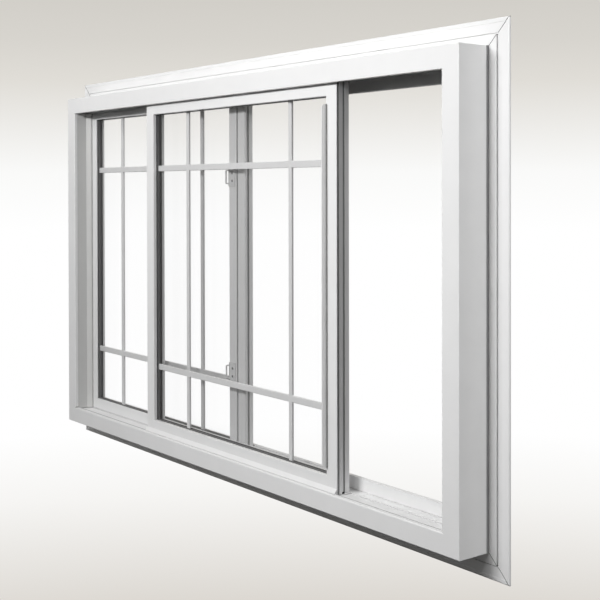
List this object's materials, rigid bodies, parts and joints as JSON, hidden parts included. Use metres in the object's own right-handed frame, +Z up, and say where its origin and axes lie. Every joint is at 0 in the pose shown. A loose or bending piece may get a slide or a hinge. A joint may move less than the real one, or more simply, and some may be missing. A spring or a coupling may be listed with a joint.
{
  "type": "horizontal sliding window",
  "caption": "White vinyl horizontal sliding window with a trim flange, a fixed pane, a sliding sash standing partly open, and flat grille bars between the panes.",
  "frame": {"origin": "middle of the wall face of the bottom trim flange, where it bears on the outside of the wall", "axes": "+X along the width to the right as seen from the room, +Y outwards through the wall, +Z up"},
  "size_m": [1.795, 0.092, 1.1049],
  "materials": {
    "white_vinyl": "satin",
    "clear_glass": "clear",
    "dark_spacer": "matte",
    "white_grille": "satin",
    "white_zinc": "satin",
    "white_nylon": "matte"
  },
  "bodies": {
    "root": {"frame_head": "white_vinyl", "frame_sill": "white_vinyl", "frame_left_jamb": "white_vinyl", "frame_right_jamb": "white_vinyl", "left_jamb_cover": "white_vinyl", "flange_head": "white_vinyl", "flange_sill": "white_vinyl", "flange_left": "white_vinyl", "flange_right": "white_vinyl", "sash_top_rail": "white_vinyl", "sash_bottom_rail": "white_vinyl", "sash_left_stile": "white_vinyl", "sash_pull_stile": "white_vinyl", "sash_skirt": "white_vinyl", "pull_rail": "white_vinyl", "fixed_top_rail": "white_vinyl", "fixed_bottom_rail": "white_vinyl", "fixed_left_stile": "white_vinyl", "fixed_meeting_stile": "white_vinyl", "meeting_post": "white_vinyl", "sash_inner_pane": "clear_glass", "sash_outer_pane": "clear_glass", "fixed_inner_pane": "clear_glass", "fixed_outer_pane": "clear_glass", "sash_spacer": "dark_spacer", "fixed_spacer": "dark_spacer", "sash_grille": "white_grille", "fixed_grille": "white_grille", "upper_keeper": "white_zinc", "lower_keeper": "white_zinc", "left_glide": "white_nylon", "right_glide": "white_nylon"}
  },
  "joints": []
}
